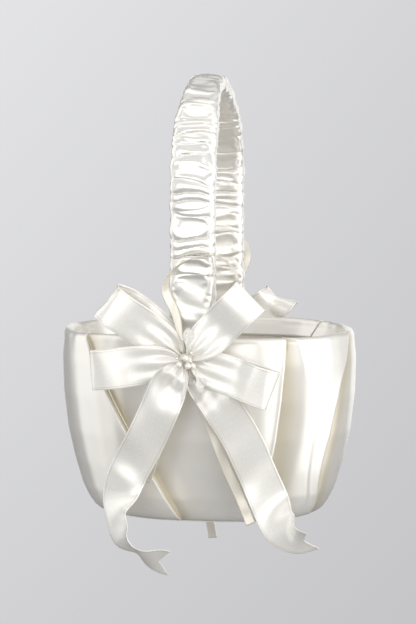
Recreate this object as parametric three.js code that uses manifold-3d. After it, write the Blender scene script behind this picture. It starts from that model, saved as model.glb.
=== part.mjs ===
// Flower girl basket: a padded oval tub covered in satin, with a ruched satin handle
// that swings on two rivets, and a ribbon bow with a pearl spray over each rivet.
// Millimetres, +Z up, origin on the ground under the middle of the base.
// X runs along the wide way of the oval, and the handle arches over the narrow way, along Y.
import * as THREE from "three";
import { mergeVertices } from "three/addons/utils/BufferGeometryUtils.js";
import Module from "manifold-3d";

const wasm = await Module();
wasm.setup();

// ---- Driving dimensions ----
const GAP = 0.3; // left between neighbouring pieces
const OVAL_POWER = 2.25; // superellipse exponent of every oval, where 2 is a true ellipse
const OVAL_SEGMENTS = 36;

// Outer face of the satin cover from the ground up: height, half width in X, half depth in Y.
const SIDE = [
  [1.2, 73, 50.6],
  [5, 77.4, 54],
  [17, 83.6, 58.4],
  [35, 88.8, 61.5],
  [55, 93.4, 63.6],
  [80, 96.6, 64.9],
  [103, 97.6, 65.2],
  [116, 96.6, 64.3],
];
const RIM_TOP = 121;
const HEM_BOTTOM = 109; // where the satin turned over the rim ends inside
const SATIN = 1;
const FOAM = 3.2;
const TUB_WALL = 1.8;
const TUB_TOP = 112;
const TUB_FLOOR = 2.8;
const RIVET_ROOM = 3.2; // between tub and lining, for the washers and clenched rivet ends
const RIM_WIRE = { radius: 1.4, inset: 3.1, z: 115.6 };

const PIVOT_Z = 103.5;
const LEG_Y = 73.5; // middle of each handle leg
const ARCH_Z = 211; // where the straight legs turn into the half-round arch
const CORE = { width: 16, thickness: 2, bottom: 95.5 };
const PADDING = { width: 22.6, thickness: 6.4, bottom: 134 };
const SLEEVE = { width: 28, thickness: 11, bottom: 112.5, pinched: 20.5, full: 133, ruffle: 0.8 };
const RIVET = { shank: 2, hole: 2.5, head: 4.5, headDepth: 1.6, clench: 3.2 };

const RIBBON = { width: 25, pinch: 4.2, thickness: 0.6 };
const NARROW = { width: 6, thickness: 0.5 };
const BOW = { x: -2.5, y: -85.3, z: 110 }; // middle of the near tie
const TIE = { radius: 5, halfDepth: 5.3 };
const PEARL_RADIUS = 1.95;
const SEED_RADIUS = 1;

// ---- Materials ----
const finish = (color, roughness, metalness = 0) =>
  new THREE.MeshStandardMaterial({ color, roughness, metalness });
const satin = finish(0xf3efe4, 0.32);
const satinLining = finish(0xece6d8, 0.4);
const board = finish(0xc9bfa8, 0.85);
const tubPlastic = finish(0xe8e6e0, 0.5);
const foam = finish(0xf6f4ee, 0.95);
const felt = finish(0xece8dd, 0.95);
const steel = finish(0xb9bcc0, 0.35, 1);
const pearl = finish(0xf6f1e6, 0.18);
const organza = finish(0xf4f2ea, 0.3);

// ---- Mesh helpers ----
const at = (x, y, z) => new THREE.Vector3(x, y, z);

function geometryOf(points, triangles) {
  const geometry = new THREE.BufferGeometry();
  geometry.setAttribute(
    "position",
    new THREE.Float32BufferAttribute(points.flatMap((p) => [p.x, p.y, p.z]), 3),
  );
  geometry.setIndex(triangles.flat());
  return geometry;
}

// Six times the signed volume, which is negative when the faces point inwards.
function signedVolume(points, triangles) {
  const cross = at(0, 0, 0);
  return triangles.reduce(
    (sum, [a, b, c]) => sum + points[a].dot(cross.crossVectors(points[b], points[c])),
    0,
  );
}

// Skins a closed body over rings of equal point count. A looped body joins its last ring
// to its first, as a tube with a bore does; any other is closed by a fan at each end. The two
// faces of a strip are split along matching diagonals, so a twisted strip keeps its thickness.
function loft(rings, looped = false) {
  const count = rings[0].length;
  const points = rings.flat();
  const triangles = [];
  const last = looped ? rings.length : rings.length - 1;
  for (let r = 0; r < last; r++) {
    const low = r * count;
    const high = ((r + 1) % rings.length) * count;
    for (let k = 0; k < count; k++) {
      const next = (k + 1) % count;
      const corners = [low + k, low + next, high + next, high + k];
      const [a, b, c, d] = 2 * k < count ? corners : [...corners.slice(1), corners[0]];
      triangles.push([a, b, c], [a, c, d]);
    }
  }
  if (!looped) {
    [rings[0], rings.at(-1)].forEach((ring, end) => {
      const middle = ring.reduce((sum, p) => sum.add(p), at(0, 0, 0)).divideScalar(count);
      const first = end ? (rings.length - 1) * count : 0;
      const hub = points.push(middle) - 1;
      for (let k = 0; k < count; k++) {
        const pair = [first + k, first + ((k + 1) % count)];
        triangles.push(end ? [hub, ...pair] : [hub, ...pair.reverse()]);
      }
    });
  }
  if (signedVolume(points, triangles) < 0) triangles.forEach((t) => t.reverse());
  return geometryOf(points, triangles);
}

function solidOf(geometry) {
  const bare = geometry.clone();
  bare.deleteAttribute("normal");
  bare.deleteAttribute("uv");
  const merged = mergeVertices(bare, 1e-4);
  return new wasm.Manifold(
    new wasm.Mesh({
      numProp: 3,
      vertProperties: merged.attributes.position.array,
      triVerts: new Uint32Array(merged.index.array),
    }),
  );
}

function geometryOfSolid(solid) {
  const mesh = solid.getMesh();
  const made = new THREE.BufferGeometry();
  made.setAttribute("position", new THREE.BufferAttribute(new Float32Array(mesh.vertProperties), 3));
  made.setIndex(new THREE.BufferAttribute(new Uint32Array(mesh.triVerts), 1));
  return made;
}

const cut = (geometry, ...tools) =>
  geometryOfSolid(
    tools.reduce((left, tool) => left.subtract(solidOf(tool)), solidOf(geometry)),
  );

const root = new THREE.Group();
function piece(name, geometry, material, parent = root) {
  const mesh = new THREE.Mesh(geometry, material);
  mesh.name = name;
  parent.add(mesh);
  return mesh;
}

// ---- The oval body ----
function oval(halfX, halfY, z) {
  const power = 2 / OVAL_POWER;
  return Array.from({ length: OVAL_SEGMENTS }, (_, k) => {
    const angle = (2 * Math.PI * k) / OVAL_SEGMENTS;
    const c = Math.cos(angle);
    const s = Math.sin(angle);
    return at(
      halfX * Math.sign(c) * Math.abs(c) ** power,
      halfY * Math.sign(s) * Math.abs(s) ** power,
      z,
    );
  });
}

// Half width and half depth of the cover's outer face at a height.
function sideAt(z) {
  const upper = Math.max(1, SIDE.findIndex(([height]) => height >= z));
  const [z0, x0, y0] = SIDE[upper - 1];
  const [z1, x1, y1] = SIDE[upper];
  const share = THREE.MathUtils.clamp((z - z0) / (z1 - z0), 0, 1);
  return [THREE.MathUtils.lerp(x0, x1, share), THREE.MathUtils.lerp(y0, y1, share)];
}

// The oval at a height, a distance inside the cover's outer face.
function sideOval(z, inset) {
  const [halfX, halfY] = sideAt(z);
  return oval(halfX - inset, halfY - inset, z);
}

// The layers of the wall, each given by its distance inside the cover's outer face.
const FOAM_OUT = SATIN + GAP;
const TUB_OUT = FOAM_OUT + FOAM + GAP;
const TUB_IN = TUB_OUT + TUB_WALL;
const LINING_OUT = TUB_IN + RIVET_ROOM;
const WALL_HEIGHTS = [17, 35, 55, 80, 103];

// A wall between two insets of the side, over a list of heights.
function wall(heights, outer, inner) {
  const outside = heights.map((z) => sideOval(z, outer));
  const inside = heights.map((z) => sideOval(z, inner)).reverse();
  return loft([...outside, ...inside], true);
}

// A cup between two insets of the side, with a floor.
function cup(heights, outer, inner, floorTop) {
  const outside = heights.map((z) => sideOval(z, outer));
  const inside = [floorTop, ...heights.filter((z) => z > floorTop + 2)];
  return loft([...outside, ...inside.map((z) => sideOval(z, inner)).reverse()]);
}

// The satin covers the outside, rolls over the rim, ends in a hem inside, and is turned in
// under the base.
function coverGeometry() {
  const [rimX, rimY] = sideAt(116);
  const rim = (inset, z) => oval(rimX - inset, rimY - inset, z);
  const outside = SIDE.map(([z]) => sideOval(z, 0));
  const rollOutside = [rim(0.9, 119.6), rim(3.1, RIM_TOP), rim(5.3, 119.6), rim(6.2, 116.4)];
  const hem = [rim(9.6, HEM_BOTTOM), rim(8.6, HEM_BOTTOM)];
  const rollInside = [rim(5.2, 116.4), rim(4.5, 119.1), rim(3.1, RIM_TOP - SATIN), rim(1.7, 119.1)];
  const inside = SIDE.slice(1).map(([z]) => sideOval(z, SATIN)).reverse();
  const turnedIn = [oval(75, 52, 2.2), oval(62, 38, 2.2), oval(62, 38, 1.2)];
  return loft([...outside, ...rollOutside, ...hem, ...rollInside, ...inside, ...turnedIn], true);
}

// A cylinder on the Y axis line through the pivots, between two distances on one side.
function pivotCylinder(side, radius, nearY, farY) {
  const shape = new THREE.CylinderGeometry(radius, radius, farY - nearY, 16);
  return shape.translate(0, (side * (nearY + farY)) / 2, PIVOT_Z);
}

const holes = [-1, 1].map((side) => pivotCylinder(side, RIVET.hole, 50, 80));

function buildBody() {
  piece("outer_cover", cut(coverGeometry(), ...holes), satin);
  const foamWrap = wall([7, ...WALL_HEIGHTS, TUB_TOP], FOAM_OUT, FOAM_OUT + FOAM);
  piece("foam_wrap", cut(foamWrap, ...holes), foam);
  const tubHeights = [TUB_FLOOR, 7, ...WALL_HEIGHTS, TUB_TOP];
  const tub = cup(tubHeights, TUB_OUT, TUB_IN, TUB_FLOOR + TUB_WALL);
  piece("tub_shell", cut(tub, ...holes), tubPlastic);

  const padFloor = TUB_FLOOR + TUB_WALL + GAP;
  const padTop = padFloor + 2.5;
  const padInset = 13;
  piece("floor_pad", loft([sideOval(padFloor, padInset), sideOval(padTop, padInset)]), foam);
  const liningFloor = padTop + GAP;
  const liningHeights = [liningFloor, ...WALL_HEIGHTS, HEM_BOTTOM - 2 * GAP];
  const lining = cup(liningHeights, LINING_OUT, LINING_OUT + SATIN, liningFloor + SATIN);
  piece("lining", lining, satinLining);

  piece("rim_wire", rimWire(), steel);
  piece("base_board", loft([oval(60, 36, 1.2), oval(60, 36, 2.4)]), board);
  piece("base_cover", loft([oval(71, 47, 0), oval(72, 48, 0.9)]), satin);
}

// A round wire bent into an oval hoop inside the rolled rim.
function rimWire() {
  const [rimX, rimY] = sideAt(116);
  const middle = oval(rimX - RIM_WIRE.inset, rimY - RIM_WIRE.inset, RIM_WIRE.z);
  const sides = 6;
  const rings = middle.map((p, k) => {
    const before = middle.at(k - 1);
    const after = middle[(k + 1) % middle.length];
    const along = after.clone().sub(before).normalize();
    const out = at(along.y, -along.x, 0);
    return Array.from({ length: sides }, (_, j) => {
      const angle = (2 * Math.PI * j) / sides;
      return p
        .clone()
        .addScaledVector(out, RIM_WIRE.radius * Math.cos(angle))
        .add(at(0, 0, RIM_WIRE.radius * Math.sin(angle)));
    });
  });
  return loft(rings, true);
}

// ---- Rivets that carry the handle, with what is stacked on them ----
function buildPivot(side, label) {
  const [, coverY] = sideAt(PIVOT_Z);
  const tubY = coverY - TUB_IN;
  const washerOut = tubY - 2 * GAP;
  const washerIn = washerOut - 1;
  const coreOut = LEG_Y + CORE.thickness / 2;
  const headIn = coreOut + GAP;
  const headOut = headIn + RIVET.headDepth;
  const profile = [
    [0, washerIn - 1.1],
    [RIVET.clench, washerIn - 1.1],
    [RIVET.clench, washerIn - GAP],
    [RIVET.shank, washerIn - GAP],
    [RIVET.shank, headIn],
    [RIVET.head, headIn],
    [RIVET.head - 0.6, headOut],
    [0, headOut],
  ].map(([r, y]) => new THREE.Vector2(r, y));
  const rivet = new THREE.LatheGeometry(profile, 16);
  if (side < 0) rivet.rotateZ(Math.PI);
  piece(`rivet_${label}`, rivet.translate(0, 0, PIVOT_Z), steel);

  const ring = (radius, nearY, farY) =>
    cut(pivotCylinder(side, radius, nearY, farY), pivotCylinder(side, RIVET.hole, 40, 90));
  piece(`washer_${label}`, ring(4.4, washerIn, washerOut), steel);
  piece(`pivot_spacer_${label}`, ring(5, coverY + 0.4, LEG_Y - CORE.thickness / 2 - GAP), tubPlastic);
  piece(`bow_pad_${label}`, pivotCylinder(side, 6.4, headOut + GAP, -BOW.y - TIE.halfDepth - 0.8), felt);
}

// ---- The handle: a flat strip, its padding and the ruched sleeve ----
const ARCH_STEPS = 16;

// Points along the middle of the handle from one end to the other, with the outward direction.
function archStations(bottom, legSteps, archSteps) {
  const leg = Array.from({ length: legSteps }, (_, k) =>
    THREE.MathUtils.lerp(bottom, ARCH_Z, k / legSteps),
  );
  const near = leg.map((z) => ({ p: at(0, -LEG_Y, z), out: at(0, -1, 0) }));
  const arch = Array.from({ length: archSteps + 1 }, (_, k) => {
    const angle = (Math.PI * k) / archSteps;
    const out = at(0, -Math.cos(angle), Math.sin(angle));
    return { p: at(0, 0, ARCH_Z).addScaledVector(out, LEG_Y), out };
  });
  const far = [...leg].reverse().map((z) => ({ p: at(0, LEG_Y, z), out: at(0, 1, 0) }));
  return [...near, ...arch, ...far];
}

// A rounded flat section across the handle at a station.
function bandSection({ p, out }, width, thickness) {
  const sides = 12;
  return Array.from({ length: sides }, (_, k) => {
    const angle = (2 * Math.PI * (k + 0.5)) / sides;
    const c = Math.cos(angle);
    const s = Math.sin(angle);
    return p
      .clone()
      .add(at((width / 2) * Math.sign(c) * Math.abs(c) ** 0.6, 0, 0))
      .addScaledVector(out, (thickness / 2) * Math.sign(s) * Math.abs(s) ** 0.6);
  });
}

// A band along the handle with a bore. The sizes are functions of the station's place on the
// handle, from 0 at one end to 1 at the other.
function bandTube(bottom, legSteps, outer, inner) {
  const stations = archStations(bottom, legSteps, ARCH_STEPS);
  const rings = (size) =>
    stations.map((s, k) => bandSection(s, ...size(s, k)));
  return loft([...rings(outer), ...rings(inner).reverse()], true);
}

function buildHandle() {
  const half = CORE.thickness / 2;
  const outline = new THREE.Shape();
  outline.moveTo(-LEG_Y - half, CORE.bottom);
  outline.lineTo(-LEG_Y - half, ARCH_Z);
  outline.absarc(0, ARCH_Z, LEG_Y + half, Math.PI, 0, true);
  outline.lineTo(LEG_Y + half, CORE.bottom);
  outline.lineTo(LEG_Y - half, CORE.bottom);
  outline.lineTo(LEG_Y - half, ARCH_Z);
  outline.absarc(0, ARCH_Z, LEG_Y - half, 0, Math.PI, false);
  outline.lineTo(-LEG_Y + half, CORE.bottom);
  const strip = new THREE.ExtrudeGeometry(outline, {
    depth: CORE.width,
    bevelEnabled: false,
    curveSegments: ARCH_STEPS / 2,
  });
  strip.translate(0, 0, -CORE.width / 2);
  strip.rotateX(Math.PI / 2).rotateZ(Math.PI / 2); // outline x to Y, outline y to Z
  piece("handle_core", cut(strip, ...holes), steel);

  const coreBore = [CORE.width + 2.6, CORE.thickness + 2];
  const padding = bandTube(
    PADDING.bottom,
    1,
    () => [PADDING.width, PADDING.thickness],
    () => coreBore,
  );
  piece("handle_padding", padding, foam);

  // The sleeve is gathered along the handle, so its outside swells and narrows in puffs, and
  // its ends are drawn in towards the bows.
  const full = (p) => THREE.MathUtils.smoothstep(p.z, SLEEVE.bottom, SLEEVE.full);
  const outside = ({ p }, k) => {
    const wave = k % 2 ? SLEEVE.ruffle : -SLEEVE.ruffle;
    const width = THREE.MathUtils.lerp(SLEEVE.pinched, SLEEVE.width, full(p));
    const thickness = THREE.MathUtils.lerp(8, SLEEVE.thickness - SLEEVE.ruffle, full(p));
    return [width + wave, thickness + wave];
  };
  const bore = ({ p }) => {
    const width = THREE.MathUtils.lerp(coreBore[0], PADDING.width + 1.4, full(p));
    return [width, THREE.MathUtils.lerp(coreBore[1] + 0.6, PADDING.thickness + 1.4, full(p))];
  };
  piece("handle_sleeve", bandTube(SLEEVE.bottom, 7, outside, bore), satin);
}

// ---- Ribbons ----
// A flat strip through control points. Each control is [x, y, z, across x, across y, across z, width].
function ribbon(controls, thickness, steps) {
  const curve = (from) =>
    new THREE.CatmullRomCurve3(controls.map((c) => at(c[from], c[from + 1], c[from + 2])));
  const middle = curve(0);
  const across = curve(3);
  const widths = new THREE.SplineCurve(controls.map((c, k) => new THREE.Vector2(k, c[6])));
  const rings = Array.from({ length: steps + 1 }, (_, k) => {
    const t = k / steps;
    const p = middle.getPoint(t);
    const along = middle.getTangent(t);
    const side = across.getPoint(t).projectOnPlane(along).normalize();
    const face = side.clone().cross(along);
    const half = widths.getPoint(t).y / 2;
    return [
      [-1, -1],
      [1, -1],
      [1, 1],
      [-1, 1],
    ].map(([a, b]) =>
      p.clone().addScaledVector(side, a * half).addScaledVector(face, (b * thickness) / 2),
    );
  });
  return loft(rings);
}

// A bow loop in a frame with x to the right, z up and -y away from the basket. It leaves the
// tie at an angle, runs out as the back layer, turns over at its tip and comes back in front.
// back and front are the depths of the two layers where they leave the tie, and puff is how
// far apart they stand near the tip. skew swings the back layer out from behind the front one,
// square turns the fold at the tip, roll turns the whole tip about the loop's own line, and
// lean moves it outwards.
function loopControls(shape) {
  const { angle, length, back, front, puff, skew = 0, square = 0, roll = 0, lean = 0 } = shape;
  const middle = (back + front) / 2;
  const root = TIE.radius + 0.45;
  const wide = RIBBON.width;
  const rows = [
    [root, back, RIBBON.pinch, 0, 1],
    [0.3 * length, back, 0.8 * wide, 0.2, 1],
    [0.56 * length, back, wide, 0.5, 1],
    [0.8 * length, middle + 0.45 * puff, wide, 0.9, 0.6],
    [0.96 * length, middle + 0.28 * puff, wide, 1, 0.2],
    [length, middle, wide, 1, 0.1],
    [0.955 * length, middle - 0.33 * puff, wide, 1, 0],
    [0.78 * length, middle - 0.5 * puff, wide, 0.9, 0],
    [0.54 * length, front, wide, 0.5, 0],
    [0.3 * length, front, 0.8 * wide, 0.2, 0],
    [root, front, RIBBON.pinch, 0, 0],
  ];
  return rows.map(([reach, depth, width, rolled, skewed]) => {
    const turn = THREE.MathUtils.degToRad(angle + skew * skewed);
    const edge = turn + THREE.MathUtils.degToRad(square * rolled);
    const tilt = THREE.MathUtils.degToRad(roll * rolled);
    const upright = at(-Math.sin(edge), 0, Math.cos(edge));
    const inwards = at(0, 1, 0);
    const across = upright.clone().multiplyScalar(Math.cos(tilt)).addScaledVector(inwards, Math.sin(tilt));
    const through = inwards.clone().multiplyScalar(Math.cos(tilt)).addScaledVector(upright, -Math.sin(tilt));
    const place = at(Math.cos(turn) * reach, middle - lean * rolled ** 2, Math.sin(turn) * reach);
    place.addScaledVector(through, depth - middle);
    return [...place.toArray(), ...across.toArray(), width];
  });
}

// The loops seen from outside the basket. On the far bow the upper right loop stands nearly
// upright, and the upper left one has slipped down and rolled over.
const LOOPS = {
  near: {
    upper_left: { angle: 145, length: 63, back: 3.4, front: 0.8, puff: 9, skew: -7, square: -6 },
    upper_right: { angle: 45, length: 59, back: -1.2, front: -4.4, puff: 9 },
    lower_left: { angle: 187, length: 61, back: -0.6, front: -4.2, puff: 8 },
    lower_right: { angle: -19, length: 58, back: 3, front: 0, puff: 9 },
  },
  far: {
    upper_left: { angle: 150, length: 48, back: 3.4, front: 0.8, puff: 8, roll: 36, lean: 8.5 },
    upper_right: { angle: 66, length: 57, back: -1.2, front: -4.4, puff: 9 },
    lower_left: { angle: 194, length: 61, back: -0.8, front: -4.2, puff: 8 },
    lower_right: { angle: -19, length: 58, back: 3, front: 0, puff: 9 },
  },
};

const TAIL_LEFT = [
  [-3.4, -5.6, -4.5, 0.8, 0, -0.6, RIBBON.pinch],
  [-6.5, -6, -10, 0.83, 0, -0.56, 15],
  [-12.5, -5.8, -21, 0.87, 0, -0.48, 23],
  [-20, -4.3, -39, 0.9, 0, -0.42, 25],
  [-27, -1, -53, 0.92, 0, -0.38, 25],
  [-35, 4, -67, 0.93, 0, -0.36, 25],
  [-40.7, 6, -79, 0.9, -0.15, -0.4, 25],
  [-44.6, 4.5, -90.5, 0.8, -0.55, -0.2, 25],
  [-44.6, 0.5, -102, 0.66, -0.7, 0.1, 25],
  [-40, -4, -112.5, 0.42, -0.8, 0.36, 25],
  [-31.5, -7.5, -119.5, 0.1, -0.9, 0.4, 25],
  [-22, -9, -124, -0.05, -0.75, 0.65, 25],
  [-9.3, -9, -126.5, -0.25, -0.6, 0.75, 25],
];
const TAIL_RIGHT = [
  [3.3, 4, -4.5, 0.8, 0, 0.6, RIBBON.pinch],
  [10.5, 4.5, -16, 0.84, 0, 0.54, 17],
  [21, 5.1, -29, 0.86, 0, 0.5, 24],
  [34, 7, -50, 0.9, 0, 0.42, 25],
  [43, 10, -70, 0.93, 0, 0.36, 25],
  [51, 9, -88, 0.94, 0, 0.34, 25],
  [58, 4, -102, 0.85, -0.2, 0.48, 25],
  [68, -3, -109, 0.5, -0.6, 0.62, 25],
  [81, -8, -110, 0.2, -0.85, 0.45, 25],
];
const NARROW_TAIL_RIGHT = [
  [1.4, 5.1, -5.6, 1, 0, 0.1, 3],
  [7, 6.1, -24, 1, 0.1, 0.2, NARROW.width],
  [16, 8.5, -48, 0.9, 0.2, 0.3, NARROW.width],
  [24, 12, -70, 0.9, 0.2, 0.3, NARROW.width],
  [33, 13.6, -90, 0.9, 0.1, 0.3, NARROW.width],
  [39.5, 12, -105, 0.9, 0, 0.3, NARROW.width],
];
const NARROW_TAIL_LEFT = [
  [-1.8, 5.1, -5.6, 1, 0, -0.2, 3],
  [-8, 6.1, -24, 1, -0.1, -0.3, NARROW.width],
  [-17, 9.5, -50, 0.9, 0, -0.4, NARROW.width],
  [-28, 13, -80, 0.9, 0, -0.3, NARROW.width],
];
// The far bow's narrow tail on this side hangs longest, and shows under the base.
const NARROW_TAIL_LONG = [
  [1.4, 5.1, -5.6, 1, 0, 0.1, 3],
  [5, 6.1, -24, 1, 0.1, 0.1, NARROW.width],
  [11, 9, -50, 1, 0.2, 0.1, NARROW.width],
  [12.5, 12, -85, 1, 0.2, 0, NARROW.width],
  [13.5, 12, -122, 1, 0, -0.1, NARROW.width],
  [10.5, 9, -148, 1, 0, -0.2, NARROW.width],
];
// The narrow ribbon's loop stands up in front of the handle leg, edge on at its top. The far
// one stands taller.
const NARROW_LOOP_RISE = { near: 1, far: 1.17 };
const NARROW_LOOP = [
  [-2.2, 0, 5.6, 1, 0, 0.2, 3],
  [-6.5, 1.4, 27, 0.95, 0.2, 0.2, 5],
  [-13.4, 1.4, 43, 0.7, 0.7, 0.1, NARROW.width],
  [-11, 1.4, 53.5, 0.2, 1, -0.3, NARROW.width],
  [-1, 1.4, 62, 0, 1, -0.1, NARROW.width],
  [15, 1.6, 66.5, 0, 1, 0, NARROW.width],
  [28, 1.4, 60, 0, 1, 0.1, NARROW.width],
  [31.8, 1.6, 53, 0.1, 1, 0.1, NARROW.width],
  [28.6, 3.7, 44, 0.8, 0.5, -0.2, NARROW.width],
  [19, 4.3, 24.5, 0.9, 0.1, -0.4, 5],
  [2.6, 4.3, 5.4, 0.9, 0, -0.3, 3],
];

// The narrow ribbon wound round the middle of the bow, as a short drum.
function tieGeometry() {
  const profile = [
    [0, -TIE.halfDepth],
    [TIE.radius - 0.9, -TIE.halfDepth],
    [TIE.radius, 1 - TIE.halfDepth],
    [TIE.radius, TIE.halfDepth - 1],
    [TIE.radius - 0.9, TIE.halfDepth],
    [0, TIE.halfDepth],
  ].map(([r, y]) => new THREE.Vector2(r, y));
  return new THREE.LatheGeometry(profile, 14);
}

// The pearl spray: beads on short wires from the front of the tie, and two organza petals.
const PEARLS = {
  top: { centre: [0.8, -8.9, 2.3], radius: PEARL_RADIUS },
  left: { centre: [-3.2, -8.6, -1.8], radius: PEARL_RADIUS },
  right: { centre: [2.6, -9.8, -2.4], radius: PEARL_RADIUS },
  low: { centre: [5.1, -6.5, -2.8], radius: PEARL_RADIUS },
  seed_left: { centre: [-4.8, -7.6, 1.9], radius: SEED_RADIUS },
  seed_right: { centre: [4.1, -6.4, 5.4], radius: SEED_RADIUS },
};
const PETALS = {
  upper: { place: [0.9, -6.3, 5.7], length: 15.5, turn: 8 },
  lower: { place: [5.6, -6.2, -6.4], length: 12, turn: 144 },
};

// A thin petal, narrow at its root and rounded at its tip.
function petal(length, width) {
  const outline = [0.1, 0.14, 0.4, 0.82, 1, 0.78, 0.25];
  const rings = outline.map((share, k) => {
    const t = k / (outline.length - 1);
    const half = (width / 2) * share;
    const lift = 1.2 * Math.sin(Math.PI * t);
    return [-half, half]
      .map((x) => at(x, -lift - 0.25, length * t))
      .concat([half, -half].map((x) => at(x, -lift + 0.25, length * t)));
  });
  return loft(rings);
}

function wire(from, to) {
  const along = to.clone().sub(from);
  const shape = new THREE.CylinderGeometry(0.35, 0.35, along.length(), 5);
  shape.applyQuaternion(new THREE.Quaternion().setFromUnitVectors(at(0, 1, 0), along.normalize()));
  const middle = from.clone().add(to).multiplyScalar(0.5);
  return shape.translate(middle.x, middle.y, middle.z);
}

// One body: a small hub against the tie, with a wire to the back of each bead.
function sprayWires() {
  const hub = at(0, -TIE.halfDepth - 1.1, 0);
  const hubBody = new THREE.SphereGeometry(0.8, 6, 5).translate(hub.x, hub.y, hub.z);
  return geometryOfSolid(
    Object.values(PEARLS).reduce((sum, { centre, radius }) => {
      const toBead = at(...centre).sub(hub);
      const end = hub.clone().add(toBead.setLength(toBead.length() - radius - GAP));
      return sum.add(solidOf(wire(hub, end)));
    }, solidOf(hubBody)),
  );
}

function buildBow(label, far) {
  const bow = new THREE.Group();
  bow.position.set(far ? -BOW.x : BOW.x, far ? -BOW.y : BOW.y, BOW.z);
  bow.rotation.z = far ? Math.PI : 0;
  root.add(bow);
  const add = (name, geometry, material) => piece(name, geometry, material, bow);

  add(`bow_${label}_tie`, tieGeometry(), satin);
  for (const [place, shape] of Object.entries(LOOPS[label])) {
    const strip = ribbon(loopControls(shape), RIBBON.thickness, 20);
    add(`bow_${label}_loop_${place}`, strip, satin);
  }
  add(`tail_${label}_left`, ribbon(TAIL_LEFT, RIBBON.thickness, 18), satin);
  add(`tail_${label}_right`, ribbon(TAIL_RIGHT, RIBBON.thickness, 16), satin);
  const narrowRight = far ? NARROW_TAIL_LONG : NARROW_TAIL_RIGHT;
  add(`narrow_tail_${label}_left`, ribbon(NARROW_TAIL_LEFT, NARROW.thickness, 8), satin);
  add(`narrow_tail_${label}_right`, ribbon(narrowRight, NARROW.thickness, 12), satin);
  const rise = NARROW_LOOP_RISE[label];
  const risen = NARROW_LOOP.map(([x, y, z, ...rest]) => [x, y, z * rise, ...rest]);
  add(`narrow_loop_${label}`, ribbon(risen, NARROW.thickness, 26), satin);

  add(`spray_wire_${label}`, sprayWires(), steel);
  for (const [name, { centre, radius }] of Object.entries(PEARLS)) {
    const bead = new THREE.SphereGeometry(radius, 9, 6).translate(...centre);
    add(`pearl_${label}_${name}`, bead, pearl);
  }
  for (const [name, { place, length, turn }] of Object.entries(PETALS)) {
    const leaf = petal(length, 8).rotateY(THREE.MathUtils.degToRad(turn));
    add(`petal_${label}_${name}`, leaf.translate(...place), organza);
  }
}

buildBody();
buildPivot(-1, "near");
buildPivot(1, "far");
buildHandle();
buildBow("near", false);
buildBow("far", true);

export default root;
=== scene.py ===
"""Looks of the flower girl basket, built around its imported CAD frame.

Lengths in this file are millimetres until a mesh is made, and metres in Blender. +X runs along
the wide way of the oval, -Y is the near side, and +Z is up.
"""

import math

import bpy
import numpy as np
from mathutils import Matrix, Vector


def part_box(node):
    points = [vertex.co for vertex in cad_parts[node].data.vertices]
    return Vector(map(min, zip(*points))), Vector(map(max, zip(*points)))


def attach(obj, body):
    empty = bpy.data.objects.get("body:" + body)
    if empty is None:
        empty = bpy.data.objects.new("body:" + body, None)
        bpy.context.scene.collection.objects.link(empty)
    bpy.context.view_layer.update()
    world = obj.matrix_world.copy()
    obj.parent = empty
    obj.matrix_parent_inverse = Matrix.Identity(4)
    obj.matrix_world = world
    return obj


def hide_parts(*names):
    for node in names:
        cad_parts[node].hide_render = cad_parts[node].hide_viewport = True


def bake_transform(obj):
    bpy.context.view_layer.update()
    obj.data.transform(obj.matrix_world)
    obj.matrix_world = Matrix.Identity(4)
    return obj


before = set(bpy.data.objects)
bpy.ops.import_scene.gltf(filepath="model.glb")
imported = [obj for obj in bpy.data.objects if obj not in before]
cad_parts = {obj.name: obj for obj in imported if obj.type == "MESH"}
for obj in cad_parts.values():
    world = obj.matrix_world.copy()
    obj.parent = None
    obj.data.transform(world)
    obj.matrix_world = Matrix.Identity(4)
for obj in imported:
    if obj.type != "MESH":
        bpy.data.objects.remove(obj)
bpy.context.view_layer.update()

MM = 0.001  # metres in a millimetre


# ---- Sizes read from the frame ----


def box_mm(node):
    low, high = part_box(node)
    return np.array(low) / MM, np.array(high) / MM


COVER_LOW, COVER_HIGH = box_mm("outer_cover")
LINING_LOW, LINING_HIGH = box_mm("lining")
SLEEVE_LOW, SLEEVE_HIGH = box_mm("handle_sleeve")
TIES = {side: np.mean(box_mm(f"bow_{side}_tie"), axis=0) for side in ("near", "far")}

HALF_X = COVER_HIGH[0]  # widest half width and half depth of the body
HALF_Y = COVER_HIGH[1]
BASE_Z = COVER_LOW[2]
RIM_Z = COVER_HIGH[2]
OVAL_POWER = 2.25

SLEEVE_WIDTH = SLEEVE_HIGH[0] - SLEEVE_LOW[0]
SLEEVE_THICKNESS = 10.6
ARCH_RADIUS = SLEEVE_HIGH[1] - SLEEVE_THICKNESS / 2  # middle of the band
ARCH_Z = SLEEVE_HIGH[2] - SLEEVE_HIGH[1]
SLEEVE_BOTTOM = SLEEVE_LOW[2]
LEG_LENGTH = ARCH_Z - SLEEVE_BOTTOM
SLEEVE_LENGTH = 2 * LEG_LENGTH + math.pi * ARCH_RADIUS

RIBBON_WIDTH = 25.0
NARROW_WIDTH = 6.0
SELVEDGE = 1.3  # from a ribbon's edge to the line inside it
SATIN_THICKNESS = 0.4


# ---- Curves and noise ----


def smooth(edge0, edge1, x):
    t = np.clip((x - edge0) / (edge1 - edge0), 0, 1)
    return t * t * (3 - 2 * t)


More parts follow.
